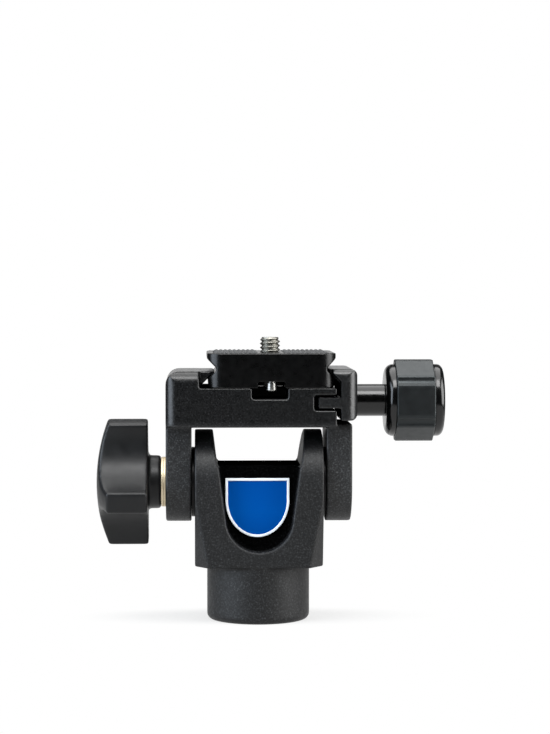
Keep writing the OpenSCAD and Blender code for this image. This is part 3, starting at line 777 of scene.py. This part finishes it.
# Washers of the tilt axle
RING_BORE_R = 4.2 * MM
WASHER_EDGE = 0.12 * MM
FRICTION_EDGE = 0.2 * MM
RING_STEPS = 4


def ring(node, body, slot, edge):
    """A flat ring along X with eased outer edges, in place of a CAD washer."""
    low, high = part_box(node)
    outer = high.y
    width = high.x - low.x
    profile = [
        (RING_BORE_R, 0, 0),
        (outer, 0, edge),
        (outer, width, edge),
        (RING_BORE_R, width, 0),
    ]
    at = Vector((low.x, 0, TILT_Z))
    add("looks_" + node, lathe(node, rounded(profile, RING_STEPS), at, ALONG_X), body, slot, node)


ring("bearing_washer", "knob_washers", "brass", WASHER_EDGE)
ring("brass_washer", "knob_washers", "brass", WASHER_EDGE)
ring("friction_washer_left", "base", "black_plastic", FRICTION_EDGE)
ring("friction_washer_right", "base", "black_plastic", FRICTION_EDGE)

# Stop screws under the plate, each with a shallow dimple in its head
STOP_HEAD = 2.6 * MM
STOP_ROUND = 0.5 * MM
STOP_EDGE = 0.1 * MM
STOP_SHANK_R = 1.25 * MM
DIMPLE_R = 0.9 * MM
DIMPLE_DEPTH = 0.25 * MM
DIMPLE_EDGE = 0.08 * MM
stop_low, stop_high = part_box("stop_screws")
stop_r = (stop_high.x - stop_low.x) / 2
stop_length = stop_high.z - stop_low.z
stop_profile = [
    (0, DIMPLE_DEPTH, 0),
    (DIMPLE_R, DIMPLE_DEPTH, 0),
    (DIMPLE_R, 0, DIMPLE_EDGE),
    (stop_r, 0, STOP_ROUND),
    (stop_r, STOP_HEAD, STOP_EDGE),
    (STOP_SHANK_R, STOP_HEAD, 0),
    (STOP_SHANK_R, stop_length, 0),
    (0, stop_length, 0),
]
stops = [
    lathe(
        "stop_screw",
        rounded(stop_profile),
        Vector((PLATE_X, y, stop_low.z)),
        ALONG_Z,
        around=48,
    )
    for y in (stop_low.y + stop_r, stop_high.y - stop_r)
]
add("looks_stop_screws", joined("stop_screws", *stops), "plate", "steel", "stop_screws")

# Badge: a shield with a raised border round an enamelled field, which runs in under the border
BADGE_ROUND = 11.6 * MM
BADGE_BORDER = 0.8 * MM
BADGE_STEP = 0.3 * MM
BADGE_BEVEL = 0.15 * MM
FIELD_T = 0.2 * MM
FIELD_LAP = 0.05 * MM
FACE_Y = badge_low.y
FIELD_Y = FACE_Y + BADGE_STEP


def shield(inset, steps=48):
    """Outline of the badge: a straight top, upright sides and a round lower end."""
    half = (badge_high.x - badge_low.x) / 2 - inset
    bend = badge_low.z + BADGE_ROUND
    drop = BADGE_ROUND - inset
    top = badge_high.z - inset
    x = (badge_low.x + badge_high.x) / 2
    leans = [math.pi * k / steps for k in range(steps + 1)]
    round_end = [(x - half * math.cos(a), bend - drop * math.sin(a)) for a in leans]
    return [(x - half, top), *round_end, (x + half, top)]


def shield_mesh(name, rims):
    """A closed plate from outlines (inset, y), first at the back and last at the front."""
    made = bmesh.new()
    loops = [[made.verts.new((x, y, z)) for x, z in shield(inset)] for inset, y in rims]
    bridge(made, loops)
    made.faces.new(loops[0])
    made.faces.new(loops[-1])
    return finished(name, facing_out(made))


border_mesh = shield_mesh(
    "badge_border",
    [
        (0, badge_high.y),
        (0, FACE_Y + BADGE_BEVEL),
        (BADGE_BEVEL, FACE_Y),
        (BADGE_BORDER - BADGE_BEVEL, FACE_Y),
        (BADGE_BORDER, FACE_Y + BADGE_BEVEL),
        (BADGE_BORDER, FIELD_Y + FIELD_LAP),
    ],
)
repaint(add("looks_badge_border", border_mesh, "base", "badge_blue", "badge"), BORDER)
field_inset = BADGE_BORDER - FIELD_LAP
field_mesh = shield_mesh(
    "badge_field", [(field_inset, FIELD_Y + FIELD_T), (field_inset, FIELD_Y)]
)
add("looks_badge_field", field_mesh, "base", "badge_blue")

# CAD nodes that keep their shape
for part in frame["record"]["subparts"]:
    node = frame["nodes"][part["node"]]
    if not node.hide_render:
        node.data.materials.clear()
        node.data.materials.append(LOOKS[part["material_slot"]])

# Camera
camera = bpy.data.cameras.new("photo_camera")
camera.sensor_fit = "VERTICAL"
camera.sensor_height = SENSOR_MM
camera.lens = LENS_MM
camera_object = bpy.data.objects.new("photo_camera", camera)
camera_object.location = CAMERA_AT
camera_object.rotation_euler = (math.pi / 2 - CAMERA_PITCH, 0, -CAMERA_YAW)
scene.collection.objects.link(camera_object)
scene.camera = camera_object

# Lamps
WHITE = (1, 1, 1)
COOL_WHITE = (0.8, 0.89, 1)


def softbox(name, place, size, watts, colour=WHITE):
    """An area lamp that faces the head's middle."""
    lamp = bpy.data.lights.new(name, "AREA")
    lamp.shape = "RECTANGLE"
    lamp.size, lamp.size_y = size
    lamp.energy = watts
    lamp.color = colour
    made = bpy.data.objects.new(name, lamp)
    made.location = place
    aim = Vector((0, 0, TILT_Z)) - Vector(place)
    made.rotation_euler = aim.to_track_quat("-Z", "Y").to_euler()
    scene.collection.objects.link(made)


softbox("top_box", (0.0, 0.08, 0.62), (0.7, 0.7), 5.5)
softbox("front_box", (0.0, -0.4, 0.68), (0.5, 0.3), 5.5)
softbox("left_box", (-0.54, -0.25, 0.25), (0.6, 0.6), 8.0, COOL_WHITE)
softbox("right_box", (0.56, -0.2, 0.25), (0.5, 0.6), 7.2)

# World: a dim room, a little brighter towards the back, with a white backdrop behind the head,
# within about 20 degrees of its axis
ROOM_SPAN = (-0.7, 0.6)
ROOM_GLOW = (0.02, 0.06)
BACKDROP_REACH = math.cos(math.radians(20))
world = bpy.data.worlds.new("studio")
world.use_nodes = True
scene.world = world
room = Nodes(world.node_tree)
background = room.tree.nodes["Background"]
background.inputs["Color"].default_value = (*WHITE, 1)
rays = room.node("ShaderNodeLightPath").outputs
depth = room.split(room.node("ShaderNodeTexCoord").outputs["Generated"])["Y"]
glow = room.remap(depth, ROOM_SPAN, ROOM_GLOW)
mirrored = room.calc("MAXIMUM", rays["Is Glossy Ray"], rays["Is Transmission Ray"])
backdrop = room.calc("MULTIPLY", mirrored, room.calc("GREATER_THAN", depth, BACKDROP_REACH))
white_seen = room.calc("MAXIMUM", rays["Is Camera Ray"], backdrop)
strength = room.calc("MAXIMUM", glow, white_seen)
room.tree.links.new(strength, background.inputs["Strength"])

# Floor: white paper that keeps a soft pool of shadow round the foot
FLOOR_R = 0.3
FLOOR_T = 1 * MM
FLOOR_Z = -0.05 * MM
PAPER_GREY = (0.35, 0.35, 0.35)
POOL_AT = Vector((0, 0.004, 0))
POOL_REACH = (1 / 0.062, 1 / 0.022, 0)
POOL_FADE = (0.4, 1.0)
POOL_DEPTH = 0.25
floor_profile = [(0, 0), (FLOOR_R, 0), (FLOOR_R, -FLOOR_T), (0, -FLOOR_T)]
floor_mesh = lathe("floor", floor_profile, Vector((0, 0, FLOOR_Z)), ALONG_Z)
floor = bpy.data.objects.new("floor", floor_mesh)
scene.collection.objects.link(floor)
paper = Paint("floor_paper", Roughness=0.9, Base_Color=(*PAPER_GREY, 1))
offset = paper.node("ShaderNodeVectorMath", {0: paper.coords, 1: POOL_AT}, operation="SUBTRACT")
scaled = paper.node(
    "ShaderNodeVectorMath", {0: offset.outputs["Vector"], 1: POOL_REACH}, operation="MULTIPLY"
)
away = paper.node("ShaderNodeVectorMath", {0: scaled.outputs["Vector"]}, operation="LENGTH")
clear = paper.remap(
    away.outputs["Value"], POOL_FADE, (1 - POOL_DEPTH, 1), interpolation_type="SMOOTHSTEP"
)
rays = paper.node("ShaderNodeLightPath").outputs
mirrored = paper.calc("MAXIMUM", rays["Is Glossy Ray"], rays["Is Transmission Ray"])
seen = paper.calc("MAXIMUM", rays["Is Camera Ray"], mirrored)
white = paper.node("ShaderNodeEmission", {"Color": (*WHITE, 1)})
blend = paper.node(
    "ShaderNodeMixShader",
    {
        "Fac": paper.calc("MULTIPLY", clear, seen),
        1: paper.shader.outputs["BSDF"],
        2: white.outputs["Emission"],
    },
)
surface = paper.tree.nodes["Material Output"].inputs["Surface"]
paper.tree.links.new(blend.outputs["Shader"], surface)
floor_mesh.materials.append(paper.material)

scene.view_settings.view_transform = "Standard"
